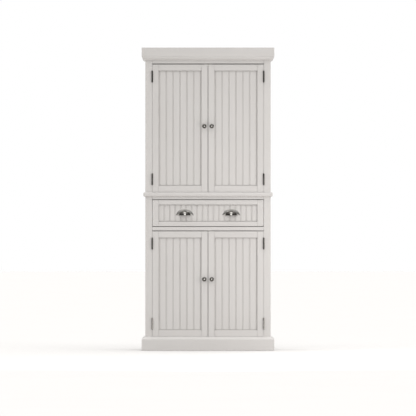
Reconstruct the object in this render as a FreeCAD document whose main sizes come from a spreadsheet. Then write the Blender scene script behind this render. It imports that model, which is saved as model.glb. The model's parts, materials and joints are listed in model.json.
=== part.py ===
"""Tall pantry cabinet: two upper doors, one drawer and two lower doors in a face-framed case.

Millimetres. +Z is up, the cabinet faces -Y and +X is to the right of a person who faces it.
The origin is on the floor, in the middle of the plinth's footprint. The cabinet is symmetric
about X = 0, so pieces of the left side are made first and the right side mirrors them.
"""
import FreeCAD, Part
import os
import re
import Sketcher

# Driving dimensions. Each one becomes a named cell of the sheet.
SIZES = {
    "over": 1,                 # how far a cutting form stands out of the piece that it cuts
    # whole cabinet
    "overall_width": 806,
    "overall_depth": 406,
    "overall_height": 1842,
    "overhang": 22,            # crown and plinth stand this far out of the case
    # heights of the openings and of the rails between them, from the floor up
    "plinth_height": 84.5,
    "lower_opening": 645.5,
    "divider_rail": 22.5,
    "drawer_opening": 167,
    "waist_rail": 43,
    "upper_opening": 782.5,
    # case boards
    "frame_stile": 41.5,
    "frame_thick": 20,
    "side_thick": 16,
    "shelf_thick": 16,
    "back_thick": 5,
    "back_rebate": 7.5,
    "bottom_rail": 50,
    "stretcher_depth": 60,
    "hanging_rail": 80,
    "wall_screw_spacing": 406,
    "wall_screw_radius": 2.5,
    # mouldings
    "crown_height": 77,
    "crown_round": 21,
    "waist_height": 26.5,
    "waist_overhang": 12,
    "waist_round": 11.5,
    "plinth_bevel_height": 15.5,
    "plinth_bevel_depth": 20,
    # shelves and their pins
    "shelf_gap": 1.5,          # from a shelf's end to the side panel
    "shelf_setback": 14,       # from the back of the face frame to a shelf's front edge
    "shelf_back_gap": 6,
    "pin_radius": 2.5,
    "pin_hole_play": 0.1,
    "pin_hole_depth": 10,
    "pin_reach": 8,            # how far a pin stands out of the side panel
    "pin_end_gap": 1,          # from a pin's end to the bottom of its hole
    "pin_inset": 45,           # from the case's front and back to the two rows of holes
    "hole_pitch": 32,
    "upper_holes_start": 1128,
    "upper_hole_count": 13,
    "lower_holes_start": 304,
    "lower_hole_count": 6,
    # doors and drawer front
    "gap": 3,                  # between the doors of a pair, and above and below the drawer front
    "door_top_gap": 3.6,
    "door_bottom_gap": 1.2,
    "side_gap": 1.2,
    "drawer_side_gap": 2,
    "door_stile": 37.5,        # uprights of the doors and of the drawer front
    "door_rail": 39.5,
    "drawer_rail": 28.5,
    "panel_recess": 7,
    "panel_thick": 6,
    "groove_depth": 8,
    "panel_play": 0.5,
    "bead_pitch": 41.6,
    "drawer_bead_pitch": 33.2,
    "bead_half": 4,            # half the width of one bead with its two quirks
    "bead_core": 2.2,
    "bead_radius": 2.3,
    "bead_depth": 2,
    "bead_lip": 0.01,          # the straight start of a quirk's sloping side
    # hinges
    "barrel_radius": 4.5,
    "barrel_length": 64,
    "barrel_clear": 0.3,
    "hinge_inset": 79,         # from the end of an opening to the middle of a hinge
    "leaf_thick": 1.2,
    "leaf_width": 18,
    "leaf_sink": 0.75,         # how deep a leaf is let into the wood
    "hinge_pin_radius": 2,
    "hinge_pin_play": 0.05,
    "hinge_tip": 5,
    "screw_radius": 1.5,
    "screw_play": 0.1,         # between a screw and its seat in the leaf
    "screw_stagger": 0.5,      # the middle screw is this far in front of the row, the others behind
    "screw_head_radius": 3.1,
    "screw_length": 16,
    # knobs and pulls
    "knob_inset": 21,          # from the meeting edge of a door to its knob
    "knob_radius": 14,
    "knob_reach": 25,
    "knob_neck": 4.5,
    "knob_rose": 8,
    "rose_thick": 2,           # the next four are distances from the door along the knob
    "neck_start": 5,
    "neck_end": 11.25,
    "head_start": 17.5,
    "rim_end": 19.5,
    "head_bulge": 19.6,        # radius of the head's crowned front
    "knob_screw_reach": 10,
    "upper_knob_height": 1364,
    "lower_knob_height": 434,
    "pull_spacing": 282.6,
    "pull_bottom": 822,
    "pull_half_width": 55,
    "pull_height": 36,
    "pull_plate": 2,
    "cup_half_width": 36,
    "cup_height": 26,
    "cup_reach": 26,
    "cup_wall": 2,
    "pull_screw_spacing": 84,
    "pull_screw_rise": 7.2,
    "front_screw_inset": 18,
    "bolt_radius": 2,
    "bolt_head_radius": 4,
    "bolt_head": 2.5,
    # drawer box and its runners
    "box_wall": 12,
    "box_depth": 330,
    "box_bottom": 765,
    "box_height": 120,
    "box_floor": 6,
    "box_floor_rise": 10,
    "runner_thick": 12.7,
    "runner_length": 300,
    "runner_front_gap": 6,
    "runner_height": 45,
    "runner_middle": 825,
    "runner_wall": 1.2,
    "runner_case_depth": 8.9,
    "runner_inner_depth": 7,
    "runner_play": 0.6,
    "runner_step": 2.5,        # each runner member is this much smaller, above and below
    # magnetic catches
    "catch_width": 46,
    "catch_depth": 18,
    "catch_height": 24,
    "catch_gap": 0.3,
    "strike_width": 16,
    "strike_height": 13,
    "strike_thick": 1.2,
    "strike_inset": 2.5,
}

# Places and sizes that follow from the driving dimensions.
PLACES = {
    "half_width": "overall_width / 2",
    "case_half": "half_width - overhang",
    "opening_half": "case_half - frame_stile",
    "inner_half": "case_half - side_thick",
    "front_y": "-overall_depth / 2",
    "face_y": "front_y + overhang",
    "frame_back": "face_y + frame_thick",
    "case_back": "overall_depth / 2",
    "panel_back": "case_back - back_thick",
    "lower_top": "plinth_height + lower_opening",
    "drawer_bottom": "lower_top + divider_rail",
    "drawer_top": "drawer_bottom + drawer_opening",
    "upper_bottom": "drawer_top + waist_rail",
    "upper_top": "upper_bottom + upper_opening",
    "crown_bottom": "overall_height - crown_height",
    "waist_bottom": "upper_bottom - waist_height",
    "bottom_panel_under": "plinth_height - shelf_thick",
    "divider_depth": "panel_back - frame_back",
    # left door
    "door_left": "side_gap - opening_half",
    "door_right": "-gap / 2",
    "door_width": "door_right - door_left",
    "door_light": "door_width - 2 * door_stile",
    "groove_y": "face_y + panel_recess",
    # hinge axis of the left doors
    "hinge_x": "side_gap / 2 - opening_half",
    "hinge_y": "face_y - barrel_radius - barrel_clear",
    "knuckle": "barrel_length / 5",
    # shelf pins
    "pin_front": "frame_back + pin_inset",
    "pin_rear": "panel_back - pin_inset",
    # drawer
    "front_left": "drawer_side_gap - opening_half",
    "front_width": "-2 * front_left",
    "front_base": "drawer_bottom + gap",
    "front_height": "drawer_opening - 2 * gap",
    "front_light": "front_width - 2 * door_stile",
    "box_half": "opening_half - runner_thick",
    "box_back": "frame_back + box_depth",
    "runner_front": "frame_back + runner_front_gap",
}

SHELF_HOLES = {"upper": (3, 10), "lower": (3,)}     # which hole of a row carries a shelf

doc = FreeCAD.newDocument("PantryCabinet")
sheet = doc.addObject("Spreadsheet::Sheet", "Sizes")
pieces = []                                         # the finished sub-parts


# ---------------------------------------------------------------- sheet and formulas

def fill_sheet():
    """Write each driving dimension into a cell of its own and name the cell."""
    for row, (name, number) in enumerate(SIZES.items(), start=1):
        sheet.set(f"A{row}", name)
        sheet.set(f"B{row}", str(number))
        sheet.setAlias(f"B{row}", name)
    doc.recompute()


def bound(formula):
    """Spell a formula's names out, down to cells of the sheet."""
    def spell(match):
        name = match.group()
        if name in SIZES:
            return f"Sizes.{name}"
        return f"({bound(PLACES[name])})"
    return re.sub(r"[a-z][a-z_]*", spell, str(formula))


def value(formula):
    """The number that a formula comes to."""
    return float(sheet.evalExpression(bound(formula)))


def bind(thing, **formulas):
    """Bind properties of an object to formulas."""
    for name, formula in formulas.items():
        thing.setExpression(name, bound(formula))


def place(thing, corner):
    """Bind the place of an object to three formulas."""
    for axis, formula in zip("xyz", corner):
        thing.setExpression(f"Placement.Base.{axis}", bound(formula))


def finish(label, thing):
    """Name a finished sub-part and put it on the list."""
    thing.Label = label
    pieces.append(thing)
    return thing


# ---------------------------------------------------------------- shapes

def block(corner, size):
    """A rectangular board, from its left front bottom corner and its width, depth and height."""
    box = doc.addObject("Part::Box", "Block")
    place(box, corner)
    bind(box, Length=size[0], Width=size[1], Height=size[2])
    return box


def rod(centre, radius, length, direction):
    """A round rod that starts at centre and runs along direction."""
    cylinder = doc.addObject("Part::Cylinder", "Rod")
    cylinder.Placement.Rotation = FreeCAD.Rotation(FreeCAD.Vector(0, 0, 1), direction)
    place(cylinder, centre)
    bind(cylinder, Radius=radius, Height=length)
    return cylinder


def fuse(things):
    """Several solids joined into one."""
    joined = doc.addObject("Part::MultiFuse", "Joined")
    joined.Shapes = things
    joined.Refine = True
    return joined


def together(things):
    """Several solids kept separate in one sub-part."""
    group = doc.addObject("Part::Compound", "Group")
    group.Links = things
    return group


def cut(base, tools):
    """A solid with tools taken out of it."""
    result = doc.addObject("Part::Cut", "Cut")
    result.Base = base
    result.Tool = tools[0] if len(tools) == 1 else together(tools)
    return result


def common(base, tool):
    """What two solids have in common."""
    result = doc.addObject("Part::Common", "Common")
    result.Base = base
    result.Tool = tool
    return result


def mirror(source):
    """The same piece on the other side of the cabinet."""
    image = doc.addObject("Part::Mirroring", "Image")
    image.Source = source
    image.Normal = FreeCAD.Vector(1, 0, 0)
    return image


def edge_at(thing, point):
    """The number of the edge whose middle is nearest to a point."""
    doc.recompute()
    target = FreeCAD.Vector(*[value(formula) for formula in point])
    edges = thing.Shape.Edges
    distances = [edge.valueAt((edge.FirstParameter + edge.LastParameter) / 2).distanceToPoint(target)
                 for edge in edges]
    return distances.index(min(distances)) + 1


def round_edges(thing, radius, points):
    """Round the edges whose middles are at the points."""
    result = doc.addObject("Part::Fillet", "Rounded")
    result.Base = thing
    result.Edges = [(edge_at(thing, point), value(radius), value(radius)) for point in points]
    return result


def copies(master, moves, both_sides=False):
    """A group of separate copies of one solid, each moved by a placement."""
    doc.recompute()
    solids = []
    for move in moves:
        solid = master.Shape.copy()
        solid.Placement = move.multiply(solid.Placement)
        solids.append(solid)
    if both_sides:
        middle, across = FreeCAD.Vector(0, 0, 0), FreeCAD.Vector(1, 0, 0)
        solids += [solid.mirror(middle, across) for solid in solids]
    group = doc.addObject("Part::Feature", "Copies")
    group.Shape = Part.makeCompound(solids)
    return group


def move_to(x, y, z, direction=None):
    """A placement at three formulas, turned so that +Z points along direction."""
    turn = FreeCAD.Rotation()
    if direction is not None:
        turn = FreeCAD.Rotation(FreeCAD.Vector(0, 0, 1), direction)
    return FreeCAD.Placement(FreeCAD.Vector(value(x), value(y), value(z)), turn)


# ---------------------------------------------------------------- sketches

def origin_plane(body, role):
    """One of a body's own origin planes."""
    return next(plane for plane in body.Origin.OriginFeatures if plane.Role == role)


def pin_point(sketch, index, end, point):
    """Bind one end of a sketch edge to two formulas."""
    for kind, formula, axis in zip(("DistanceX", "DistanceY"), point, (-2, -1)):
        number = value(formula)
        if number == 0:
            sketch.addConstraint(Sketcher.Constraint("PointOnObject", index, end, axis))
            continue
        row = sketch.addConstraint(Sketcher.Constraint(kind, -1, 1, index, end, number))
        sketch.setExpression(f"Constraints[{row}]", bound(formula))


def outline(body, role, points, bulges=None):
    """A closed outline through points. bulges gives the radius of each edge that is an arc."""
    bulges = bulges or {}
    sketch = body.newObject("Sketcher::SketchObject", "Outline")
    sketch.AttachmentSupport = [(origin_plane(body, role), "")]
    sketch.MapMode = "FlatFace"
    corners = [FreeCAD.Vector(value(across), value(along), 0) for across, along in points]
    for index, start in enumerate(corners):
        end = corners[(index + 1) % len(corners)]
        edge = Part.LineSegment(start, end)
        if index in bulges:
            edge = arc_between(start, end, value(bulges[index]))
        sketch.addGeometry(edge, False)
    for index in range(len(corners)):
        following = (index + 1) % len(corners)
        ends = (arc_end(sketch, index, corners[following]), arc_end(sketch, following, corners[following]))
        sketch.addConstraint(Sketcher.Constraint("Coincident", index, ends[0], following, ends[1]))
        pin_point(sketch, index, ends[0], points[following])
        if index in bulges:
            row = sketch.addConstraint(Sketcher.Constraint("Radius", index, value(bulges[index])))
            sketch.setExpression(f"Constraints[{row}]", bound(bulges[index]))
    return sketch


def arc_between(start, end, radius):
    """The short arc that bulges to the left of the way from start to end, drawn counterclockwise."""
    chord = end - start
    middle = (start + end) / 2
    side = FreeCAD.Vector(-chord.y, chord.x, 0).normalize()
    rise = radius - (radius ** 2 - (chord.Length / 2) ** 2) ** 0.5
    return Part.Arc(end, middle + side * rise, start)


def arc_end(sketch, index, corner):
    """Which end of a sketch edge is at a corner: 1 for its start, 2 for its end."""
    edge = sketch.Geometry[index]
    at_start = (edge.StartPoint - corner).Length < (edge.EndPoint - corner).Length
    return 1 if at_start else 2


def pad(body, sketch, length):
    """Raise an outline from its plane."""
    feature = body.newObject("PartDesign::Pad", "Pad")
    feature.Profile = sketch
    bind(feature, Length=length)
    doc.recompute()
    return feature


def pocket(body, sketch, depth, reverse):
    """Cut an outline into the body, and make sure that it removed something."""
    before = body.Shape.Volume
    feature = body.newObject("PartDesign::Pocket", "Pocket")
    feature.Profile = sketch
    feature.Reversed = reverse
    bind(feature, Length=depth)
    doc.recompute()
    if body.Shape.Volume >= before:
        raise RuntimeError(f"a pocket of {body.Label} cut nothing")
    return feature


def repeat(body, feature, sketch, axis, span, count):
    """Repeat a cut along an axis of its sketch."""
    before = body.Shape.Volume
    pattern = body.newObject("PartDesign::LinearPattern", "Repeat")
    pattern.Originals = [feature]
    pattern.Direction = (sketch, [axis])
    bind(pattern, Length=span, Occurrences=count)
    body.Tip = pattern
    doc.recompute()
    if body.Shape.Volume >= before:
        raise RuntimeError(f"a pattern of {body.Label} cut nothing")
    return pattern


# ---------------------------------------------------------------- case

def side_panel():
    """The left side, rebated for the back and drilled inside for shelf pins."""
    body = doc.addObject("PartDesign::Body", "SidePanel")
    plan = [("-case_half", "frame_back"), ("-inner_half", "frame_back"), ("-inner_half", "panel_back"),
            ("-inner_half - back_rebate", "panel_back"), ("-inner_half - back_rebate", "case_back"),
            ("-case_half", "case_back")]
    pad(body, outline(body, "XY_Plane", plan), "overall_height")
    for row in ("upper", "lower"):
        holes = pin_hole_outline(body, f"{row}_holes_start")
        drilled = pocket(body, holes, "pin_hole_depth", reverse=False)
        count = f"{row}_hole_count"
        repeat(body, drilled, holes, "V_Axis", f"hole_pitch * ({count} - 1)", count)
    return body


def pin_hole_outline(body, start):
    """The lowest hole of the front row and of the rear row, drawn on the panel's inner face."""
    sketch = body.newObject("Sketcher::SketchObject", "PinHoles")
    sketch.AttachmentSupport = [(origin_plane(body, "YZ_Plane"), "")]
    sketch.MapMode = "FlatFace"
    sketch.setExpression("AttachmentOffset.Base.z", bound("-inner_half"))
    upright = FreeCAD.Vector(0, 0, 1)
    for index, row in enumerate(("pin_front", "pin_rear")):
        centre = FreeCAD.Vector(value(row), value(start), 0)
        radius = "pin_radius + pin_hole_play"
        sketch.addGeometry(Part.Circle(centre, upright, value(radius)), False)
        pin_point(sketch, index, 3, (row, start))
        rule = sketch.addConstraint(Sketcher.Constraint("Radius", index, value(radius)))
        sketch.setExpression(f"Constraints[{rule}]", bound(radius))
    return sketch


def make_case():
    """Sides, horizontal panels, back, and the rails that the panels don't replace."""
    left = finish("left_side_panel", side_panel())
    finish("right_side_panel", mirror(left))
    width = "2 * inner_half"
    levels = {"top_panel": "overall_height", "middle_panel": "upper_bottom",
              "drawer_divider": "drawer_bottom", "bottom_panel": "plinth_height"}
    for label, top in levels.items():
        corner = ("-inner_half", "frame_back", f"{top} - shelf_thick")
        finish(label, block(corner, (width, "divider_depth", "shelf_thick")))
    stretcher = block(("-inner_half", "frame_back", "upper_top"), (width, "stretcher_depth", "shelf_thick"))
    finish("top_stretcher", stretcher)
    finish("back_rails", together([drilled_hanging_rail(), plinth_back_rail()]))
    finish("back_panel", drilled_back_panel())


def wall_screw_holes():
    """The two holes for screws into the wall, long enough for the rail and the back."""
    height = "overall_height - shelf_thick - hanging_rail / 2"
    start = "panel_back - 2 * side_thick"
    return [rod((f"{side} * wall_screw_spacing / 2", start, height), "wall_screw_radius",
                "4 * side_thick", FreeCAD.Vector(0, 1, 0)) for side in (-1, 1)]


def drilled_hanging_rail():
    """The rail under the top panel that carries the screws into the wall."""
    corner = ("-inner_half", "panel_back - side_thick", "overall_height - shelf_thick - hanging_rail")
    return cut(block(corner, ("2 * inner_half", "side_thick", "hanging_rail")), wall_screw_holes())


def plinth_back_rail():
    """The rail that carries the bottom panel's back edge."""
    corner = ("-inner_half", "panel_back - side_thick", 0)
    return block(corner, ("2 * inner_half", "side_thick", "bottom_panel_under"))


def drilled_back_panel():
    """The back, in the rebates of the sides."""
    half = "inner_half + back_rebate"
    corner = (f"-({half})", "panel_back", "bottom_panel_under")
    size = (f"2 * ({half})", "back_thick", "overall_height - bottom_panel_under")
    return cut(block(corner, size), wall_screw_holes())


def make_face_frame():
    """Two full-height stiles with four rails between them."""
    stile = block(("-case_half", "face_y", 0), ("frame_stile", "frame_thick", "overall_height"))
    left = finish("left_frame_stile", cut(stile, [leaf_pocket("frame", level) for level in hinge_levels()]))
    finish("right_frame_stile", mirror(left))
    rails = {"top_frame_rail": ("upper_top", "overall_height - upper_top"),
             "waist_frame_rail": ("drawer_top", "waist_rail"),
             "drawer_frame_rail": ("lower_top", "divider_rail"),
             "bottom_frame_rail": ("plinth_height - bottom_rail", "bottom_rail")}
    for label, (bottom, height) in rails.items():
        corner = ("-opening_half", "face_y", bottom)
        finish(label, block(corner, ("2 * opening_half", "frame_thick", height)))


# ---------------------------------------------------------------- mouldings

def mitred_front(depth, bottom, height):
    """A board across the front, mitred at both ends."""
    board = doc.addObject("Part::Wedge", "MitredFront")
    place(board, (0, "face_y", bottom))
    bind(board, Xmin=f"-case_half - {depth}", Xmax=f"case_half + {depth}", Ymin=f"-{depth}", Ymax=0,
         X2min="-case_half", X2max="case_half", Zmin=0, Zmax=height, Z2min=0, Z2max=height)
    return board


def mitred_return(depth, bottom, height):
    """A board along the left side, mitred at the front and square at the back."""
    board = doc.addObject("Part::Wedge", "MitredReturn")
    board.Placement.Rotation = FreeCAD.Rotation(FreeCAD.Vector(0, 0, 1), -90)
    place(board, (f"-case_half - {depth}", 0, bottom))
    bind(board, Xmin="-case_back", Xmax=f"{depth} - face_y", Ymin=0, Ymax=depth,
         X2min="-case_back", X2max="-face_y", Zmin=0, Zmax=height, Z2min=0, Z2max=height)
    return board


def outer_edges(depth, level):
    """Middles of the outer edges, at one level, of a front board and of a left return."""
    front = (0, f"face_y - {depth}", level)
    side = (f"-case_half - {depth}", f"(face_y - {depth} + case_back) / 2", level)
    return front, side


def moulding(label, depth, bottom, height, shaped):
    """A moulding round the front and both sides, as three mitred boards."""
    front = shaped(mitred_front(depth, bottom, height), 0)
    left = shaped(mitred_return(depth, bottom, height), 1)
    finish(label, together([front, left, mirror(left)]))


def make_mouldings():
    """Crown with a rounded lower edge, waist with a full round nose, plinth with a bevelled top."""
    def crown(board, which):
        return round_edges(board, "crown_round", [outer_edges("overhang", "crown_bottom")[which]])

    def waist(board, which):
        edges = [outer_edges("waist_overhang", level)[which] for level in ("waist_bottom", "upper_bottom")]
        return round_edges(board, "waist_round", edges)

    def plinth(board, which):
        bevel = doc.addObject("Part::Chamfer", "Bevelled")
        bevel.Base = board
        edge = edge_at(board, outer_edges("overhang", "plinth_height")[which])
        bevel.Edges = [(edge, value("plinth_bevel_height"), value("plinth_bevel_depth"))]
        return bevel

    moulding("crown_moulding", "overhang", "crown_bottom", "crown_height", crown)
    moulding("waist_moulding", "waist_overhang", "waist_bottom", "waist_height", waist)
    moulding("plinth_boards", "overhang", 0, "plinth_height", plinth)


# ---------------------------------------------------------------- shelves

def shelf_levels():
    """The height of the pins under each shelf."""
    return [f"{row}_holes_start + {hole} * hole_pitch" for row, holes in SHELF_HOLES.items()
            for hole in holes]


def make_shelves():
    """Adjustable shelves, each on four pins."""
    length = "2 * (inner_half - shelf_gap)"
    depth = "divider_depth - shelf_setback - shelf_back_gap"
    shelves = []
    for level in shelf_levels():
        corner = ("shelf_gap - inner_half", "frame_back + shelf_setback", f"{level} + pin_radius")
        shelves.append(block(corner, (length, depth, "shelf_thick")))
    finish("adjustable_shelves", together(shelves))
    pin = rod((0, 0, 0), "pin_radius", "pin_hole_depth + pin_reach - pin_end_gap",
              FreeCAD.Vector(0, 0, 1))
    inward = FreeCAD.Vector(1, 0, 0)
    start = "pin_end_gap - inner_half - pin_hole_depth"
    moves = [move_to(start, row, level, inward) for level in shelf_levels()
             for row in ("pin_front", "pin_rear")]
    finish("shelf_pins", copies(pin, moves, both_sides=True))


# ---------------------------------------------------------------- hinges

OPENINGS = {"upper": ("upper_bottom", "upper_top"), "lower": ("plinth_height", "lower_top")}


def door_ends(door):
    """The bottom and the height of a door."""
    low, high = OPENINGS[door]
    return f"{low} + door_bottom_gap", f"{high} - {low} - door_bottom_gap - door_top_gap"


def door_hinge_levels(door):
    """The middles of a door's two hinges."""
    low, high = OPENINGS[door]
    return [f"{low} + hinge_inset", f"{high} - hinge_inset"]


def hinge_levels():
    """The middles of all hinges of one side of the cabinet."""
    return [level for door in OPENINGS for level in door_hinge_levels(door)]


def leaf_left(side):
    """The left face of a hinge leaf, on the frame's stile or on the door's edge."""
    if side == "frame":
        return "-opening_half - leaf_sink"
    return "door_left - leaf_thick + leaf_sink"


def leaf_pocket(side, level):
    """The shallow pocket in the wood that a leaf is let into."""
    corner = (leaf_left(side), "face_y - over", f"{level} - barrel_length / 2")
    return block(corner, ("leaf_thick", "leaf_width + over", "barrel_length"))


def hinge_leaf(side, level):
    """A leaf with its knuckles: three on the frame's leaf and two between them on the door's."""
    base = f"{level} - barrel_length / 2"
    left = leaf_left(side)
    solids = [block((left, "face_y", base), ("leaf_thick", "leaf_width", "barrel_length"))]
    for number in ((0, 2, 4) if side == "frame" else (1, 3)):
        low = f"{base} + {number} * knuckle + barrel_clear / 2"
        tall = "knuckle - barrel_clear"
        solids.append(block((left, "hinge_y", low), ("leaf_thick", "face_y - hinge_y", tall)))
        solids.append(rod(("hinge_x", "hinge_y", low), "barrel_radius", tall, FreeCAD.Vector(0, 0, 1)))
    bore = rod(("hinge_x", "hinge_y", f"{base} - over"), "hinge_pin_radius + hinge_pin_play",
               "barrel_length + 2 * over", FreeCAD.Vector(0, 0, 1))
    return cut(fuse(solids), [bore] + [screw_seat(side, level, row) for row in (-1, 0, 1)])


def screw_place(side, level, row):
    """Where a hinge screw enters the exposed face of its leaf."""
    face = "-opening_half - leaf_sink + leaf_thick" if side == "frame" else leaf_left(side)
    stagger = "screw_stagger" if row else "-screw_stagger"
    return face, f"face_y + leaf_width / 2 + {stagger}", f"{level} + {row} * barrel_length / 3"


def screw_seat(side, level, row):
    """The tapered hole of a hinge screw, a little larger than the screw."""
    seat = doc.addObject("Part::Cone", "Seat")
    inward = -1 if side == "frame" else 1
    seat.Placement.Rotation = FreeCAD.Rotation(FreeCAD.Vector(0, 0, 1), FreeCAD.Vector(inward, 0, 0))
    place(seat, screw_place(side, level, row))
    bind(seat, Radius1="screw_head_radius + screw_play", Radius2="screw_radius + screw_play",
         Height="leaf_thick")
    return seat


def wood_screw():
    """A countersunk screw that points along +Z, with its head's face on the XY plane."""
    head = doc.addObject("Part::Cone", "ScrewHead")
    bind(head, Radius1="screw_head_radius", Radius2="screw_radius", Height="leaf_thick")
    shank = rod((0, 0, 0), "screw_radius", "screw_length", FreeCAD.Vector(0, 0, 1))
    return fuse([head, shank])


def hinge_screws(side, levels):
    """Placements of three screws for each leaf."""
    inward = FreeCAD.Vector(-1 if side == "frame" else 1, 0, 0)
    return [move_to(*screw_place(side, level, row), inward) for level in levels for row in (-1, 0, 1)]


def make_hinges(screw):
    """The leaves, pins and screws that stay with the case."""
    left = [hinge_leaf("frame", level) for level in hinge_levels()]
    finish("frame_hinge_leaves", together(left + [mirror(leaf) for leaf in left]))
    shaft = rod((0, 0, "-barrel_length / 2"), "hinge_pin_radius", "barrel_length", FreeCAD.Vector(0, 0, 1))
    pin = fuse([shaft, hinge_tip(1), hinge_tip(-1)])
    moves = [move_to("hinge_x", "hinge_y", level) for level in hinge_levels()]
    finish("hinge_pins", copies(pin, moves, both_sides=True))
    finish("frame_hinge_screws", copies(screw, hinge_screws("frame", hinge_levels()), both_sides=True))


def hinge_tip(end):
    """The rounded tip at the upper or lower end of a hinge pin."""
    tip = doc.addObject("Part::Cone", "Tip")
    tip.Placement.Rotation = FreeCAD.Rotation(FreeCAD.Vector(0, 0, 1), FreeCAD.Vector(0, 0, end))
    place(tip, (0, 0, f"{end} * barrel_length / 2"))
    bind(tip, Radius1="barrel_radius", Radius2="barrel_radius / 2", Height="hinge_tip")
    return tip


# ---------------------------------------------------------------- doors and drawer front

def beadboard(left, bottom, width, height, pitch, per_side):
    """A thin panel whose face has a bead at every pitch, counted out from the middle."""
    body = doc.addObject("PartDesign::Body", "Beadboard")
    half = f"({width}) / 2"
    rectangle = [(f"-{half}", 0), (half, 0), (half, "panel_thick"), (f"-{half}", "panel_thick")]
    pad(body, outline(body, "XY_Plane", rectangle), height)
    first = f"-{per_side} * {pitch}"
    points = [(f"{first} - bead_half", "-over"), (f"{first} + bead_half", "-over"),
              (f"{first} + bead_half", "bead_lip"), (f"{first} + bead_core", "bead_depth"),
              (f"{first} - bead_core", "bead_depth"), (f"{first} - bead_half", "bead_lip")]
    bead = outline(body, "XY_Plane", points, {3: "bead_radius"})
    groove = pocket(body, bead, height, reverse=True)
    repeat(body, groove, bead, "H_Axis", f"2 * {per_side} * {pitch}", 2 * per_side + 1)
    place(body, (f"{left} + {half}", "groove_y", bottom))
    return body


def stile(left, bottom, height, groove_side):
    """An upright of a door or of the drawer front, grooved along its inner edge."""
    board = block((left, "face_y", bottom), ("door_stile", "frame_thick", height))
    groove_left = f"{left} + door_stile - groove_depth" if groove_side == "right" else left
    groove = block((groove_left, "groove_y", bottom), ("groove_depth", "panel_thick", height))
    return cut(board, [groove])


def rail(left, bottom, light, width, groove_side):
    """A cross piece with a stub tenon at each end, grooved along its inner edge."""
    board = block((f"{left} + door_stile", "face_y", bottom), (light, "frame_thick", width))
    start = f"{left} + door_stile - groove_depth"
    reach = f"{light} + 2 * groove_depth"
    tenons = block((start, "groove_y", bottom), (reach, "panel_thick", width))
    groove_bottom = f"{bottom} + {width} - groove_depth" if groove_side == "top" else bottom
    groove = block((start, "groove_y", groove_bottom), (reach, "panel_thick", "groove_depth"))
    return cut(fuse([board, tenons]), [groove])


def framed_panel(left, bottom, light, height, rail_width, pitch, per_side):
    """The beaded panel of a frame, with a little play at the bottom of its grooves."""
    tongue = "(groove_depth - panel_play)"
    return beadboard(f"{left} + door_stile - {tongue}", f"{bottom} + {rail_width} - {tongue}",
                     f"{light} + 2 * {tongue}", f"{height} - 2 * {rail_width} + 2 * {tongue}",
                     pitch, per_side)


def knob(height):
    """A round knob on a waisted neck, turned about the axis that leaves the door."""
    body = doc.addObject("PartDesign::Body", "Knob")
    profile = [(0, 0), ("knob_rose", 0), ("knob_rose", "-rose_thick"), ("knob_neck", "-neck_start"),
               ("knob_neck", "-neck_end"), ("knob_radius", "-head_start"), ("knob_radius", "-rim_end"),
               (0, "-knob_reach")]
    sketch = outline(body, "XY_Plane", profile, {6: "head_bulge"})
    turned = body.newObject("PartDesign::Revolution", "Turned")
    turned.Profile = sketch
    turned.ReferenceAxis = (sketch, ["V_Axis"])
    turned.Angle = 360
    place(body, ("door_right - knob_inset", "face_y", height))
    return body


def machine_screw(length):
    """A pan-head screw that points along +Z, with the underside of its head on the XY plane."""
    head = rod((0, 0, "-bolt_head"), "bolt_head_radius", "bolt_head", FreeCAD.Vector(0, 0, 1))
    return fuse([head, rod((0, 0, 0), "bolt_radius", length, FreeCAD.Vector(0, 0, 1))])


def door_fixings(door, screw):
    """A door's hinge screws, the screw of its knob, and its strike plate."""
    bottom, height = door_ends(door)
    hinge_set = copies(screw, hinge_screws("door", door_hinge_levels(door)))
    knob_screw = machine_screw("frame_thick + knob_screw_reach")
    knob_screw.Placement.Rotation = FreeCAD.Rotation(FreeCAD.Vector(0, 0, 1), FreeCAD.Vector(0, -1, 0))
    place(knob_screw, ("door_right - knob_inset", "frame_back", f"{door}_knob_height"))
    top = f"{bottom} + {height} - strike_inset - strike_height"
    strike = block(("door_right - strike_inset - strike_width", "frame_back", top),
                   ("strike_width", "strike_thick", "strike_height"))
    return together([hinge_set, knob_screw, strike])


def make_doors(screw):
    """The left doors, and their mirror images as the right doors."""
    for door in OPENINGS:
        bottom, height = door_ends(door)
        hinge_stile = stile("door_left", bottom, height, "right")
        hinge_stile = cut(hinge_stile, [leaf_pocket("door", level) for level in door_hinge_levels(door)])
        meeting_stile = stile("door_right - door_stile", bottom, height, "left")
        rails = [rail("door_left", bottom, "door_light", "door_rail", "top"),
                 rail("door_left", f"{bottom} + {height} - door_rail", "door_light", "door_rail",
                      "bottom")]
        left_pieces = {
            "stiles": together([hinge_stile, meeting_stile]),
            "rails": together(rails),
            "panel": framed_panel("door_left", bottom, "door_light", height, "door_rail",
                                  "bead_pitch", 3),
            "knob": knob(f"{door}_knob_height"),
            "hinge_leaves": together([hinge_leaf("door", level) for level in door_hinge_levels(door)]),
            "fixings": door_fixings(door, screw),
        }
        for name, thing in left_pieces.items():
            finish(f"{door}_left_{name}", thing)
            finish(f"{door}_right_{name}", mirror(thing))


# ---------------------------------------------------------------- drawer

def cup_pull(side):
    """A cup-shaped pull, open below, on a plate with pointed ears."""
    centre = f"{side} * pull_spacing / 2"
    radius = "(pull_half_width * pull_half_width + pull_height * pull_height) / (2 * pull_height)"
    disc = rod((centre, "groove_y", f"pull_bottom + pull_height - {radius}"), radius, "pull_plate",
               FreeCAD.Vector(0, -1, 0))
    plate = common(disc, pull_space(centre))
    cup = common(ellipsoid(centre, 0), pull_space(centre))
    return cut(fuse([plate, cup]), [ellipsoid(centre, "cup_wall")])


def pull_space(centre):
    """The box above a pull's lower edge and in front of the drawer's panel."""
    corner = (f"{centre} - pull_half_width", "groove_y - cup_reach", "pull_bottom")
    return block(corner, ("2 * pull_half_width", "cup_reach", "2 * pull_height"))


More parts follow.
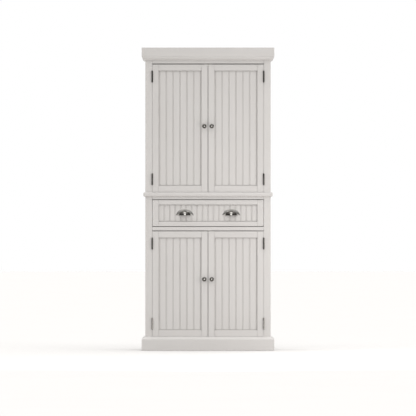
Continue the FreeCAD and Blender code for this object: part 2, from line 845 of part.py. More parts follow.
def ellipsoid(centre, shrink):
    """The rounded form of a cup, smaller all round by shrink."""
    form = doc.addObject("Part::Ellipsoid", "CupForm")
    form.Angle1 = -90
    place(form, (centre, "groove_y", "pull_bottom"))
    bind(form, Radius1=f"cup_height - {shrink}", Radius2=f"cup_half_width - {shrink}",
         Radius3=f"cup_reach - {shrink}")
    return form


def make_drawer_front():
    """The framed and beaded drawer front with its two pulls."""
    base, height = "front_base", "front_height"
    stiles = [stile("front_left", base, height, "right"),
              stile("-front_left - door_stile", base, height, "left")]
    rails = [rail("front_left", base, "front_light", "drawer_rail", "top"),
             rail("front_left", f"{base} + {height} - drawer_rail", "front_light", "drawer_rail",
                  "bottom")]
    finish("drawer_front_frame", together(stiles + rails))
    finish("drawer_front_panel", framed_panel("front_left", base, "front_light", height,
                                              "drawer_rail", "drawer_bead_pitch", 8))
    finish("left_cup_pull", cup_pull(-1))
    finish("right_cup_pull", cup_pull(1))


def make_drawer_box():
    """The box behind the drawer front: two sides, two ends and a bottom in grooves."""
    floor_tongue = "box_wall / 2"
    floor_half = f"box_half - box_wall + {floor_tongue}"
    floor_front = f"frame_back + box_wall - {floor_tongue}"
    floor_size = (f"2 * ({floor_half})", f"box_depth - 2 * (box_wall - {floor_tongue})", "box_floor")
    floor_corner = (f"-({floor_half})", floor_front, "box_bottom + box_floor_rise")
    side = cut(block(("-box_half", "frame_back", "box_bottom"), ("box_wall", "box_depth", "box_height")),
               [block(floor_corner, floor_size)])
    finish("drawer_sides", together([side, mirror(side)]))
    ends = [cut(block(("box_wall - box_half", start, "box_bottom"),
                      ("2 * (box_half - box_wall)", "box_wall", "box_height")),
                [block(floor_corner, floor_size)]) for start in ("frame_back", "box_back - box_wall")]
    finish("drawer_ends", together(ends))
    finish("drawer_bottom", block(floor_corner, floor_size))


def make_drawer_screws():
    """Four screws for the pulls and two that hold the drawer front to its box."""
    bolt = machine_screw("box_wall + frame_thick - panel_recess + pull_plate / 2")
    forward = FreeCAD.Vector(0, -1, 0)
    inside = "frame_back + box_wall"
    pull_level = "pull_bottom + pull_screw_rise"
    places = [(f"{side} * pull_spacing / 2 + {end} * pull_screw_spacing / 2", pull_level)
              for side in (-1, 1) for end in (-1, 1)]
    places += [(f"{side} * (box_half - front_screw_inset)", "runner_middle") for side in (-1, 1)]
    moves = [move_to(across, inside, level, forward) for across, level in places]
    finish("drawer_screws", copies(bolt, moves))


def channel(start, depth, half_height, opens):
    """A left runner member: a web with two flanges. opens says where its open side points."""
    size = (depth, "runner_length", f"2 * ({half_height})")
    outside = block((start, "runner_front", f"runner_middle - ({half_height})"), size)
    hollow_left = f"{start} + runner_wall" if opens == "right" else f"{start} - runner_wall"
    hollow = block((hollow_left, "runner_front - over", f"runner_middle - ({half_height}) + runner_wall"),
                   (depth, "runner_length + 2 * over", f"2 * ({half_height}) - 2 * runner_wall"))
    return cut(outside, [hollow])


def make_runners():
    """Packing rails level with the face frame, and telescopic runners of three nested members."""
    packing = block(("-inner_half", "frame_back", "runner_middle - runner_height"),
                    ("inner_half - opening_half", "divider_depth", "2 * runner_height"))
    finish("runner_packing_rails", together([packing, mirror(packing)]))
    members = {
        "runner_case_members": ("-opening_half", "runner_case_depth", "runner_height / 2", "right"),
        "runner_middle_members": ("-opening_half + 2 * runner_wall + runner_play", "runner_inner_depth",
                                  "runner_height / 2 - runner_step", "right"),
        "runner_drawer_members": ("-opening_half + runner_thick - runner_inner_depth",
                                  "runner_inner_depth", "runner_height / 2 - 2 * runner_step", "left"),
    }
    for label, member in members.items():
        left = channel(*member)
        finish(label, together([left, mirror(left)]))


# ---------------------------------------------------------------- catches

def make_catches():
    """A double magnetic catch for each pair of doors."""
    catches = []
    for under in ("upper_top", "drawer_bottom - shelf_thick"):
        corner = ("-catch_width / 2", "frame_back + strike_thick + catch_gap", f"{under} - catch_height")
        catches.append(block(corner, ("catch_width", "catch_depth", "catch_height")))
    finish("magnetic_catches", together(catches))


# ---------------------------------------------------------------- build, check and write

def check_document():
    """Stop if any object failed or any sub-part has no valid shape."""
    doc.recompute()
    failed = [thing.Label for thing in doc.Objects if "Invalid" in thing.State or "Error" in thing.State]
    bad = [piece.Label for piece in pieces if piece.Shape.isNull() or not piece.Shape.isValid()]
    if failed or bad:
        raise RuntimeError(f"failed objects: {failed}; bad shapes: {bad}")


def write_parts():
    """Write each sub-part to a file of its own name."""
    os.makedirs("parts", exist_ok=True)
    for piece in pieces:
        piece.Shape.exportStep(f"parts/{piece.Label}.step")
        print(piece.Label, len(piece.Shape.Solids), round(piece.Shape.Volume))


fill_sheet()
hinge_screw = wood_screw()
make_case()
make_face_frame()
make_mouldings()
make_shelves()
make_hinges(hinge_screw)
make_doors(hinge_screw)
make_drawer_front()
make_drawer_box()
make_drawer_screws()
make_runners()
make_catches()
check_document()
write_parts()
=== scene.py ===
"""The looks of a painted pantry cabinet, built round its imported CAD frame. Metres, +Z up, front to -Y."""
import json
import math

import bmesh
import bpy
from mathutils import Matrix, Vector


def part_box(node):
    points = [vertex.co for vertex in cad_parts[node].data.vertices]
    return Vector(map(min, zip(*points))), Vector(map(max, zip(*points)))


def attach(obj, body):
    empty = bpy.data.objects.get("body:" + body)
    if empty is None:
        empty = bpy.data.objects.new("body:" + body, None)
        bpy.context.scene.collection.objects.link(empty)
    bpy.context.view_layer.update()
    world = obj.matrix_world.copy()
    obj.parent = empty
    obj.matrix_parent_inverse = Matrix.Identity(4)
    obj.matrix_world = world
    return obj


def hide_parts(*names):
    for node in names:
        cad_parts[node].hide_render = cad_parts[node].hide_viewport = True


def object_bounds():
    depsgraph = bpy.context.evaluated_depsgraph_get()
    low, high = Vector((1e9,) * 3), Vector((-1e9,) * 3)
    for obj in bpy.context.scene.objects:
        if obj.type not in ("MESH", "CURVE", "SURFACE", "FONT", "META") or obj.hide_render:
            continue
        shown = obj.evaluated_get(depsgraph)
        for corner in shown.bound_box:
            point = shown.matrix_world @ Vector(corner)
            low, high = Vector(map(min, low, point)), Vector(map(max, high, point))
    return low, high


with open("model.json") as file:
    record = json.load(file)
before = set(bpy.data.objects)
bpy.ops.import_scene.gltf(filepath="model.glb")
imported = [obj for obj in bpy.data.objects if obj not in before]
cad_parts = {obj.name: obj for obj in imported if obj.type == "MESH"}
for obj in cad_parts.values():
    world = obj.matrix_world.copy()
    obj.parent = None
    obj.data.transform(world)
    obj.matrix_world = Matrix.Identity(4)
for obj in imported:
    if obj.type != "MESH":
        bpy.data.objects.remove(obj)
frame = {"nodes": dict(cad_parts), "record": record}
CAD_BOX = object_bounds()
BODIES = frame["record"]["behaviour"]["bodies"]
BODY_OF = {node: body for body, nodes in BODIES.items() for node in nodes}
MM = 0.001
X, Y, Z = Vector((1, 0, 0)), Vector((0, 1, 0)), Vector((0, 0, 1))
DOORS = ("upper_left", "upper_right", "lower_left", "lower_right")
SMOOTH_BELOW = math.radians(38)      # edges sharper than this stay sharp
SAME_POINT = 2e-6                    # vertices nearer than this are one
SAME_PLANE = 1e-5                    # a vertex nearer than this to a plane lies on it
ON_AXIS = 1e-7                       # a turned profile's radius below this is a point on the axis

# Sizes that the frame's boxes don't give by themselves.
ARRIS = 0.5 * MM                     # how far the edges of boards are rounded
CRACK = 0.75 * MM                    # the hairline that is left at each end of a rail
MITRE_LINE = 0.3 * MM                # the arris at each end of a moulding's boards
TONGUE = 7.5 * MM                    # how far a beaded panel reaches into its frame
DROP_START = TONGUE - 0.9 * MM       # where, under the frame, a panel's face starts to drop into its quirk
DROP_END = TONGUE - 0.5 * MM         # and where it reaches the quirk's floor
QUIRK, QUIRK_DEPTH = 1.5 * MM, 2.1 * MM  # the groove beside a bead
SLOPE = 0.4 * MM                     # how far a quirk's side leans
BEAD_HALF = 4.0 * MM                 # half a bead, with its quirk
BEAD_BELOW_FACE = 0.2 * MM


# ---------------------------------------------------------------- meshes

def new_mesh(name, bm, smooth=True):
    """A mesh from a bmesh, with smooth shading between its sharp edges."""
    bmesh.ops.recalc_face_normals(bm, faces=bm.faces)
    mesh = bpy.data.meshes.new(name)
    bm.to_mesh(mesh)
    bm.free()
    if smooth:
        mesh.shade_smooth()
        mesh.set_sharp_from_angle(angle=SMOOTH_BELOW)
    return mesh


def add_piece(name, bm, body, materials, replaces=(), weighted=False):
    """A finished piece: linked, painted, riding on its body and standing for its CAD nodes."""
    used = sorted({face.material_index for face in bm.faces})
    for face in bm.faces:
        face.material_index = used.index(face.material_index)
    piece = bpy.data.objects.new(name, new_mesh(name, bm))
    bpy.context.scene.collection.objects.link(piece)
    for index in used:
        piece.data.materials.append(materials[index])
    if weighted:
        even = piece.modifiers.new("EvenNormals", "WEIGHTED_NORMAL")
        even.keep_sharp = True
    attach(piece, body)
    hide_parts(*replaces)
    return piece


def stand_in(node, bm, materials, weighted=False):
    """A piece that stands for one CAD node and rides on that node's body."""
    return add_piece(f"{node}_piece", bm, BODY_OF[node], materials, [node], weighted)


def merge(bm, other, grain=0, tag=0.0):
    """Adds other to bm, with a material index and a number that sets its pattern apart."""
    tags = bm.verts.layers.float.get("tag") or bm.verts.layers.float.new("tag")
    first_vertex, first_face = len(bm.verts), len(bm.faces)
    mesh = bpy.data.meshes.new("part")
    other.to_mesh(mesh)
    other.free()
    bm.from_mesh(mesh)
    bpy.data.meshes.remove(mesh)
    bm.verts.ensure_lookup_table()
    bm.faces.ensure_lookup_table()
    for vertex in bm.verts[first_vertex:]:
        vertex[tags] = tag
    for face in bm.faces[first_face:]:
        face.material_index = grain


def eased_board(low, high, ease=ARRIS, segments=3):
    """A board from corner to corner, with its edges rounded."""
    bm = bmesh.new()
    size = Vector(high) - Vector(low)
    centre = (Vector(high) + Vector(low)) / 2
    place = Matrix.Translation(centre) @ Matrix.Diagonal((*size, 1))
    bmesh.ops.create_cube(bm, size=1, matrix=place)
    bmesh.ops.bevel(bm, geom=bm.edges[:], offset=ease, segments=segments, profile=0.5, affect="EDGES")
    return bm


def longest_axis(low, high):
    """0, 1 or 2 for the axis along which a box is longest: the way a board's grain runs."""
    size = Vector(high) - Vector(low)
    return max(range(3), key=lambda axis: size[axis])


def boards_piece(node, boxes):
    """One painted piece of several boards that stands for a CAD node. Each board's grain runs along it."""
    bm = bmesh.new()
    for number, (low, high) in enumerate(boxes):
        merge(bm, eased_board(low, high), longest_axis(low, high), tag_of(node, number))
    return stand_in(node, bm, PAINTS, weighted=True)


def tag_of(node, number):
    """A number from 0 to 10 for one board of a node, from the letters of the node's name."""
    mixed = sum(ord(letter) * (place + 3) for place, letter in enumerate(node)) + 17 * number
    return mixed % 97 / 9.7


def node_mesh(node):
    """An editable copy of a CAD node's mesh, with its doubled points joined."""
    bm = bmesh.new()
    bm.from_mesh(frame["nodes"][node].data)
    bmesh.ops.remove_doubles(bm, verts=bm.verts, dist=SAME_POINT)
    return bm


def softened(node, materials, ease=ARRIS):
    """A piece in a CAD node's own shape, with the outer edges of its boards rounded."""
    bm = node_mesh(node)
    bmesh.ops.dissolve_limit(bm, angle_limit=math.radians(0.4), verts=bm.verts, edges=bm.edges)
    tags = bm.verts.layers.float.new("tag")
    for number, island in enumerate(islands(bm)):
        low, high = bounds_of(island)
        grain = longest_axis(low, high)
        for vertex in island:
            vertex[tags] = tag_of(node, number)
            for face in vertex.link_faces:
                face.material_index = min(grain, len(materials) - 1)
        rim = [edge for edge in bm.edges if edge.verts[0] in island and on_two_planes(edge, low, high)]
        bmesh.ops.bevel(bm, geom=rim, offset=ease, segments=2, profile=0.5, affect="EDGES")
    return stand_in(node, bm, materials, weighted=True)


def islands(bm):
    """The vertices of each separate solid, lowest solid first."""
    left, groups = set(bm.verts), []
    while left:
        group, waiting = set(), [next(iter(left))]
        while waiting:
            vertex = waiting.pop()
            if vertex in group:
                continue
            group.add(vertex)
            waiting += [edge.other_vert(vertex) for edge in vertex.link_edges]
        left -= group
        groups.append(group)
    return sorted(groups, key=lambda group: min((v.co.z, v.co.x, v.co.y) for v in group))


def bounds_of(vertices):
    """The lowest and highest corner of some vertices."""
    return (Vector([min(v.co[axis] for v in vertices) for axis in range(3)]),
            Vector([max(v.co[axis] for v in vertices) for axis in range(3)]))


def on_two_planes(edge, low, high):
    """True if an edge lies on two of the six planes of a box: then it is an outer edge of a board."""
    first, second = (vertex.co for vertex in edge.verts)
    shared = 0
    for axis in range(3):
        for plane in (low[axis], high[axis]):
            shared += max(abs(first[axis] - plane), abs(second[axis] - plane)) < SAME_PLANE
    return shared >= 2


def node_boxes(node):
    """The box of each separate solid of a CAD node."""
    bm = node_mesh(node)
    boxes = [bounds_of(island) for island in islands(bm)]
    bm.free()
    return boxes


def lathe(profile, axis_at, along, segments):
    """A turned solid. profile is (radius, distance along the axis), from one end to the other."""
    bm = bmesh.new()
    along = Vector(along).normalized()
    across = along.orthogonal().normalized()
    third = along.cross(across)
    rings = []
    for radius, distance in profile:
        middle = Vector(axis_at) + along * distance
        if radius < ON_AXIS:
            rings.append([bm.verts.new(middle)])
            continue
        turns = (2 * math.pi * step / segments for step in range(segments))
        rings.append([bm.verts.new(middle + (across * math.cos(t) + third * math.sin(t)) * radius)
                      for t in turns])
    for inner, outer in zip(rings, rings[1:]):
        join_rings(bm, inner, outer)
    for ring, (radius, _) in ((rings[0], profile[0]), (rings[-1], profile[-1])):
        if radius >= ON_AXIS:
            bm.faces.new(ring)
    return bm


def join_rings(bm, first, second):
    """Faces between two closed rings of points. Either ring may be a single point."""
    count = max(len(first), len(second))
    for step in range(count):
        corners = [first[step % len(first)], first[(step + 1) % len(first)],
                   second[(step + 1) % len(second)], second[step % len(second)]]
        unique = list(dict.fromkeys(corners))
        if len(unique) > 2:
            bm.faces.new(unique)


def join_rows(bm, first, second):
    """Faces between two open rows of as many points."""
    for step in range(len(first) - 1):
        bm.faces.new([first[step], second[step], second[step + 1], first[step + 1]])


def arc(centre, radius, start, end, steps):
    """Points on an arc, both ends included. Angles are in degrees."""
    turns = (math.radians(start + (end - start) * step / steps) for step in range(steps + 1))
    return [(centre[0] + radius * math.cos(t), centre[1] + radius * math.sin(t)) for t in turns]


# ---------------------------------------------------------------- materials

PAINT = (0.509, 0.492, 0.476)
PAINT_DARK = (0.488, 0.471, 0.454)
PAINT_LIGHT = (0.528, 0.512, 0.497)
# The darkest paint colour is painted shade, laid into gaps and inner corners.
PAINT_SHADED = (0.20, 0.19, 0.175)
SHADE_REACH = 10 * MM                 # how near another face has to be to count as a gap or corner
EVEN = (1, 1, 1)                     # the scale of a pattern that isn't stretched


class Nodes:
    """A short way to write a node tree."""

    def __init__(self, name):
        self.material = bpy.data.materials.new(name)
        self.material.use_nodes = True
        self.tree = self.material.node_tree
        self.shader = self.tree.nodes["Principled BSDF"]

    def add(self, kind, values=None, **settings):
        """A node with its settings and its unlinked or linked inputs."""
        node = self.tree.nodes.new(kind)
        for key, setting in settings.items():
            setattr(node, key, setting)
        for key, given in (values or {}).items():
            self.put(node, key, given)
        return node

    def put(self, node, key, given):
        """Links a socket to an input, or sets the input's value."""
        if isinstance(given, bpy.types.NodeSocket):
            self.tree.links.new(given, node.inputs[key])
        else:
            node.inputs[key].default_value = given

    def place(self, stretch):
        """Object coordinates, stretched."""
        coordinates = self.add("ShaderNodeTexCoord").outputs["Object"]
        return self.add("ShaderNodeMapping", {"Vector": coordinates, "Scale": stretch}).outputs[0]

    def tag(self):
        """The number that tells a board from its neighbours."""
        return self.add("ShaderNodeAttribute", attribute_name="tag").outputs["Fac"]

    def noise(self, stretch, scale, detail, tag=None, rough=0.5):
        """Noise from 0 to 1 in stretched object coordinates. A tag gives each board its own."""
        values = {"Vector": self.place(stretch), "Scale": scale, "Detail": detail, "Roughness": rough}
        if tag is None:
            return self.add("ShaderNodeTexNoise", values).outputs["Fac"]
        values["W"] = tag
        return self.add("ShaderNodeTexNoise", values, noise_dimensions="4D").outputs["Fac"]

    def ramp(self, factor, *stops):
        """A colour ramp through (position, colour) stops."""
        node = self.add("ShaderNodeValToRGB", {"Fac": factor})
        elements = node.color_ramp.elements
        while len(elements) < len(stops):
            elements.new(0.5)
        for element, (position, colour) in zip(elements, stops):
            element.position = position
            element.color = (*colour, 1)
        return node.outputs["Color"]

    def span(self, factor, low, high, start=0.0, end=1.0):
        """Factor from start..end turned into low..high."""
        values = {"Value": factor, "From Min": start, "From Max": end, "To Min": low, "To Max": high}
        return self.add("ShaderNodeMapRange", values).outputs["Result"]

    def calculate(self, operation, *values, clamp=False):
        """The outcome of one arithmetic operation on sockets and numbers."""
        node = self.add("ShaderNodeMath", dict(enumerate(values)), operation=operation, use_clamp=clamp)
        return node.outputs[0]

    def bump(self, height, distance, normal=None):
        """Relief from a height, on top of another relief if one is given."""
        values = {"Height": height, "Distance": distance, "Strength": 1.0}
        if normal is not None:
            values["Normal"] = normal
        return self.add("ShaderNodeBump", values).outputs["Normal"]

    def finish(self, **inputs):
        """Sets the shader's inputs and gives the material back."""
        for key, given in inputs.items():
            self.put(self.shader, key.replace("_", " "), given)
        return self.material


def stretch_along(axis, along, across):
    """A scale that draws a pattern out along one axis."""
    return tuple(along if number == axis else across for number in range(3))


def paint(axis):
    """Satin off-white paint, brushed along the grain, with the wood's grain just showing through.

    It is darkened with painted shade in gaps and inner corners.
    """
    nodes = Nodes(f"paint_{'xyz'[axis]}")
    tag = nodes.tag()
    brush = nodes.noise(stretch_along(axis, 1.0, 60.0), 16.0, 4.0, tag)
    grain = nodes.noise(stretch_along(axis, 1.0, 26.0), 3.2, 5.0, tag, 0.62)
    broad = nodes.noise(EVEN, 2.4, 2.0, tag)
    mottle = nodes.span(nodes.calculate("ADD", broad, grain), 0.4, 1.0, 0.55, 1.45)
    # Ambient occlusion darkens the paint in gaps and inner corners: painted shade.
    open_air = nodes.add("ShaderNodeAmbientOcclusion", {"Distance": SHADE_REACH}, samples=6).outputs["AO"]
    tone_and_shade = nodes.calculate("MULTIPLY", mottle, nodes.span(open_air, 0.0, 1.0, 0.05, 0.6))
    colour = nodes.ramp(tone_and_shade, (0.0, PAINT_SHADED), (0.4, PAINT_DARK), (0.7, PAINT), (1.0, PAINT_LIGHT))
    relief = nodes.bump(brush, 0.10 * MM, nodes.bump(grain, 0.30 * MM))
    gloss = nodes.span(brush, 0.40, 0.52)
    return nodes.finish(Base_Color=colour, Roughness=gloss, Normal=relief, Specular_IOR_Level=0.42)


def aged_pewter():
    """Dark antique metal, brighter where its pieces set wear and painted highlights."""
    nodes = Nodes("aged_pewter")
    # This attribute holds both real wear and painted highlights and reflections, set per piece.
    wear_and_sheen = nodes.add("ShaderNodeAttribute", attribute_name="wear_and_sheen").outputs["Fac"]
    patina = nodes.noise(EVEN, 420.0, 5.0, rough=0.65)
    fine = nodes.noise(EVEN, 2600.0, 2.0)
    uneven = nodes.calculate("MULTIPLY_ADD", patina, wear_and_sheen, -0.18)
    mixed = nodes.calculate("ADD", wear_and_sheen, uneven, clamp=True)
    colour = nodes.ramp(mixed, (0.0, (0.045, 0.042, 0.038)), (0.45, (0.16, 0.152, 0.142)),
                        (1.0, (0.50, 0.485, 0.46)))
    rough = nodes.span(patina, 0.12, 0.22, 0.3, 0.7)
    relief = nodes.bump(fine, 0.02 * MM, nodes.bump(patina, 0.06 * MM))
    return nodes.finish(Base_Color=colour, Metallic=1.0, Roughness=rough, Normal=relief)


def zinc_steel():
    """Zinc-plated sheet steel with a fine rolled grain along the runner."""
    nodes = Nodes("zinc_steel")
    rolled = nodes.noise(stretch_along(1, 1.0, 30.0), 60.0, 3.0)
    cloud = nodes.noise(EVEN, 90.0, 4.0)
    colour = nodes.ramp(cloud, (0.3, (0.50, 0.52, 0.54)), (0.7, (0.66, 0.67, 0.68)))
    return nodes.finish(Base_Color=colour, Metallic=1.0, Roughness=nodes.span(cloud, 0.28, 0.44, 0.3, 0.7),
                        Normal=nodes.bump(rolled, 0.03 * MM))


def bare_wood(axis):
    """Clear-lacquered light wood, with growth rings drawn out along the board."""
    nodes = Nodes(f"bare_wood_{'xyz'[axis]}")
    tag = nodes.tag()
    bend = nodes.noise(stretch_along(axis, 0.7, 5.0), 2.0, 3.0, tag)
    figure = nodes.add("ShaderNodeVectorMath", {0: nodes.place(stretch_along(axis, 0.6, 22.0)), 1: bend},
                       operation="ADD").outputs[0]
    rings = nodes.add("ShaderNodeTexWave", {"Vector": figure, "Scale": 1.6, "Distortion": 5.0,
                                            "Detail": 3.0, "Detail Scale": 1.4}).outputs["Fac"]
    pores = nodes.noise(stretch_along(axis, 6.0, 160.0), 14.0, 3.0, tag)
    tone = nodes.span(nodes.calculate("ADD", rings, pores), 0, 1, 0.2, 1.6)
    colour = nodes.ramp(tone, (0.0, (0.46, 0.30, 0.165)),
                        (0.55, (0.58, 0.41, 0.245)), (1.0, (0.68, 0.51, 0.33)))
    return nodes.finish(Base_Color=colour, Roughness=nodes.span(pores, 0.38, 0.55),
                        Normal=nodes.bump(pores, 0.08 * MM))


def catch_plastic():
    """Ivory moulded plastic with a fine spark-eroded texture."""
    nodes = Nodes("catch_plastic")
    spark = nodes.noise(EVEN, 1800.0, 2.0)
    broad = nodes.noise(EVEN, 30.0, 2.0)
    colour = nodes.ramp(broad, (0.3, (0.66, 0.63, 0.56)), (0.7, (0.70, 0.67, 0.60)))
    return nodes.finish(Base_Color=colour, Roughness=nodes.span(spark, 0.45, 0.6),
                        Normal=nodes.bump(spark, 0.04 * MM))


def pale_floor():
    """Plain and pale, with a faint unevenness."""
    nodes = Nodes("pale_floor")
    soft = nodes.noise(EVEN, 1.5, 2.0)
    colour = nodes.ramp(soft, (0.0, (0.618, 0.608, 0.597)), (1.0, (0.632, 0.622, 0.611)))
    return nodes.finish(Base_Color=colour, Roughness=0.9, Specular_IOR_Level=0.0)


PAINTS = [paint(axis) for axis in range(3)]
WOODS = [bare_wood(axis) for axis in range(3)]
PEWTER = aged_pewter()
ZINC = zinc_steel()
PLASTIC = catch_plastic()


# ---------------------------------------------------------------- case and face frame

def build_case():
    """The boards of the case, softened, with the shapes that the CAD gives them."""
    painted = ("left_side_panel", "right_side_panel", "top_panel", "middle_panel", "drawer_divider",
               "bottom_panel", "top_stretcher", "back_panel", "back_rails", "adjustable_shelves")
    for node in painted:
        softened(node, PAINTS)
    softened("runner_packing_rails", WOODS)


def build_face_frame():
    """Stiles and rails with finely eased edges, so that their joints show as hairlines."""
    for node in ("left_frame_stile", "right_frame_stile", "top_frame_rail", "waist_frame_rail",
                 "drawer_frame_rail", "bottom_frame_rail"):
        low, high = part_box(node)
        if node.endswith("rail"):
            low, high = low + X * CRACK, high - X * CRACK
        boards_piece(node, [(low, high)])


# ---------------------------------------------------------------- mouldings

def mitred(node, profile):
    """Three boards of one profile round the front and sides, mitred at the front corners.

    The profile is (how far out of the case, height) and runs round the board's section.
    """
    low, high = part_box(node)
    out = max(depth for depth, _ in profile)
    half, face, back = high.x - out, low.y + out, high.y
    bm = bmesh.new()
    front_ends = [[(side * (half + depth), face - depth, level) for depth, level in profile]
                  for side in (-1, 1)]
    merge(bm, prism(*front_ends), 0, tag_of(node, 0))
    for number, side in enumerate((-1, 1), start=1):
        ends = [[(side * (half + depth), front, level) for (depth, level), front in zip(profile, fronts)]
                for fronts in ([face - depth for depth, _ in profile], [back] * len(profile))]
        merge(bm, prism(*ends), 1, tag_of(node, number))
    return stand_in(node, bm, PAINTS, weighted=True)


def prism(first, second):
    """A solid between two matching outlines, with a fine arris round each end."""
    bm = bmesh.new()
    rings = [[bm.verts.new(point) for point in outline] for outline in (first, second)]
    count = len(first)
    for step in range(count):
        following = (step + 1) % count
        bm.faces.new([rings[0][step], rings[0][following], rings[1][following], rings[1][step]])
    ends = [bm.faces.new(ring) for ring in rings]
    rim = [edge for face in ends for edge in face.edges]
    bmesh.ops.bevel(bm, geom=rim, offset=MITRE_LINE, segments=1, affect="EDGES")
    return bm


def eased_corner(corner, before, after, radius, steps=3):
    """A corner of a section, rounded between the directions it comes from and goes to."""
    corner, before, after = Vector(corner), Vector(before), Vector(after)
    start = corner + (before - corner).normalized() * radius
    end = corner + (after - corner).normalized() * radius
    shares = [step / steps for step in range(steps + 1)]
    return [tuple(start.lerp(corner, t).lerp(corner.lerp(end, t), t)) for t in shares]


def section(points, radius):
    """A closed section. points are (out, height, eased): an eased corner is rounded, others are kept."""
    outline = []
    for number, (out, level, eased) in enumerate(points):
        before, after = points[number - 1][:2], points[(number + 1) % len(points)][:2]
        if eased:
            outline += eased_corner((out, level), before, after, radius)
        else:
            outline.append((out, level))
    return outline


def build_crown():
    """The crown: a tall fascia over a small step and an ovolo."""
    low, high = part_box("crown_moulding")
    out, ovolo_radius, step = 22 * MM, 19.5 * MM, 1.5 * MM
    inset = ovolo_radius + step
    ovolo_top = low.z + inset
    ovolo = arc((out - inset, ovolo_top), ovolo_radius, 0, -90, 12)
    crown = [(0, low.z, False), (0, high.z, False), (out, high.z, True)]
    crown += [(out, ovolo_top + 2 * MM, True), (out - step, ovolo_top + 1.2 * MM, False)]
    crown += [(depth, level, False) for depth, level in ovolo]
    mitred("crown_moulding", section(crown, 1.2 * MM))


def build_waist():
    """The waist moulding: a nose with a round at its upper and lower edge."""
    low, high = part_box("waist_moulding")
    out, radius = 12 * MM, 8 * MM
    nose = arc((out - radius, high.z - radius), radius, 90, 0, 10)
    nose += arc((out - radius, low.z + radius), radius, 0, -90, 10)
    mitred("waist_moulding", [(0, low.z), (0, high.z)] + nose)


def build_plinth():
    """The plinth: upright boards with a steep bevel on top."""
    low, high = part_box("plinth_boards")
    out, flat, bevel = 22 * MM, 2 * MM, 15.5 * MM
    plinth = [(0, low.z, False), (0, high.z, False), (flat, high.z, False),
              (out, high.z - bevel, True), (out, low.z, True)]
    mitred("plinth_boards", section(plinth, 1.0 * MM))


# ---------------------------------------------------------------- doors and drawer front

def frame_boxes(low, high, stile, rail, foot, head):
    """The boards of a framed front: two stiles of full height, and two rails between them.

    stile and rail are their widths. foot and head say how far the lower edge is above the CAD's and
    how far the upper edge is below it.
    """
    left, right = low.x + stile, high.x - stile
    lower, upper = low.z + rail, high.z - rail
    low, high = low + foot * Z, high - head * Z
    stiles = [(low, (left, high.y, high.z)), ((right, low.y, low.z), high)]
    left, right = left + CRACK, right - CRACK
    rails = [((left, low.y, low.z), (right, high.y, lower)),
             ((left, low.y, upper), (right, high.y, high.z))]
    return stiles, rails


def bead_section(left, right, front, back, pitch, per_side, side_quirk):
    """The section of a beaded panel: a middle bead and per_side more on each side of it, in quirks."""
    middle, core = (left + right) / 2, BEAD_HALF - QUIRK
    floor = front + QUIRK_DEPTH
    rise = QUIRK_DEPTH - BEAD_BELOW_FACE
    edge = [(0, back), (0, front), (DROP_START, front), (DROP_END, floor),
            (TONGUE + side_quirk - SLOPE, floor), (TONGUE + side_quirk, front)]
    points = [(left + inset, depth) for inset, depth in edge]
    for number in range(-per_side, per_side + 1):
        centre = middle + number * pitch
        points += [(centre - BEAD_HALF, front), (centre - core - SLOPE, floor)]
        points += [(centre + core * x, floor - rise * y) for x, y in arc((0, 0), 1, 180, 0, 10)]
        points += [(centre + core + SLOPE, floor), (centre + BEAD_HALF, front)]
    return points + [(right - inset, depth) for inset, depth in reversed(edge)]


def build_panel(node, pitch, per_side, side_quirk, end_quirk):
    """A beaded panel, run from bottom to top. Where it meets its frame it has quirks of two widths."""
    low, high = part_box(node)
    outline = bead_section(low.x, high.x, low.y, high.y, pitch, per_side, side_quirk)
    sunk = [(x, max(y, low.y + QUIRK_DEPTH)) for x, y in outline]
    end = TONGUE + end_quirk
    half = [(0, outline), (DROP_START, outline), (DROP_END, sunk), (end - SLOPE, sunk), (end, outline)]
    levels = [(low.z + inset, shape) for inset, shape in half]
    levels += [(high.z - inset, shape) for inset, shape in reversed(half)]
    bm = bmesh.new()
    rings = [[bm.verts.new((x, y, level)) for x, y in shape] for level, shape in levels]
    for ring, following in zip(rings, rings[1:]):
        join_rings(bm, ring, following)
    bm.faces.new(rings[0])
    bm.faces.new(rings[-1])
    tags = bm.verts.layers.float.new("tag")
    for vertex in bm.verts:
        vertex[tags] = tag_of(node, 0)
    for face in bm.faces:
        face.material_index = 2      # the paint whose grain runs upright
    return stand_in(node, bm, PAINTS, weighted=True)


def build_doors():
    """Frames and beaded panels of the four doors. The gaps over the upper doors are the widest."""
    for door in DOORS:
        head = 1.5 * MM if door.startswith("upper") else 0.8 * MM
        stiles, rails = frame_boxes(*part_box(f"{door}_stiles"), stile=37.5 * MM, rail=39.5 * MM,
                                    foot=-0.6 * MM, head=head)
        boards_piece(f"{door}_stiles", stiles)
        boards_piece(f"{door}_rails", rails)
        build_panel(f"{door}_panel", pitch=41.6 * MM, per_side=3, side_quirk=0, end_quirk=2.6 * MM)


def build_drawer():
    """The drawer's front and the box behind it."""
    stiles, rails = frame_boxes(*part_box("drawer_front_frame"), stile=37.5 * MM, rail=28.5 * MM,
                                foot=0.7 * MM, head=1.1 * MM)
    boards_piece("drawer_front_frame", stiles + rails)
    build_panel("drawer_front_panel", pitch=33.2 * MM, per_side=8, side_quirk=2.0 * MM, end_quirk=3.8 * MM)
    for node in ("drawer_sides", "drawer_ends", "drawer_bottom"):
        softened(node, WOODS)


# ---------------------------------------------------------------- knobs and pulls

PLATE_DEPTH = 4.6 * MM               # whatever is nearer the drawer than this belongs to a pull's plate


def wear_and_sheen_layer(bm, amount):
    """Writes how worn each vertex is and how much painted highlight it gets, from a function of its place.
    """
    layer = bm.verts.layers.float.get("wear_and_sheen") or bm.verts.layers.float.new("wear_and_sheen")
    for vertex in bm.verts:
        vertex[layer] = max(0.0, min(1.0, amount(vertex.co)))


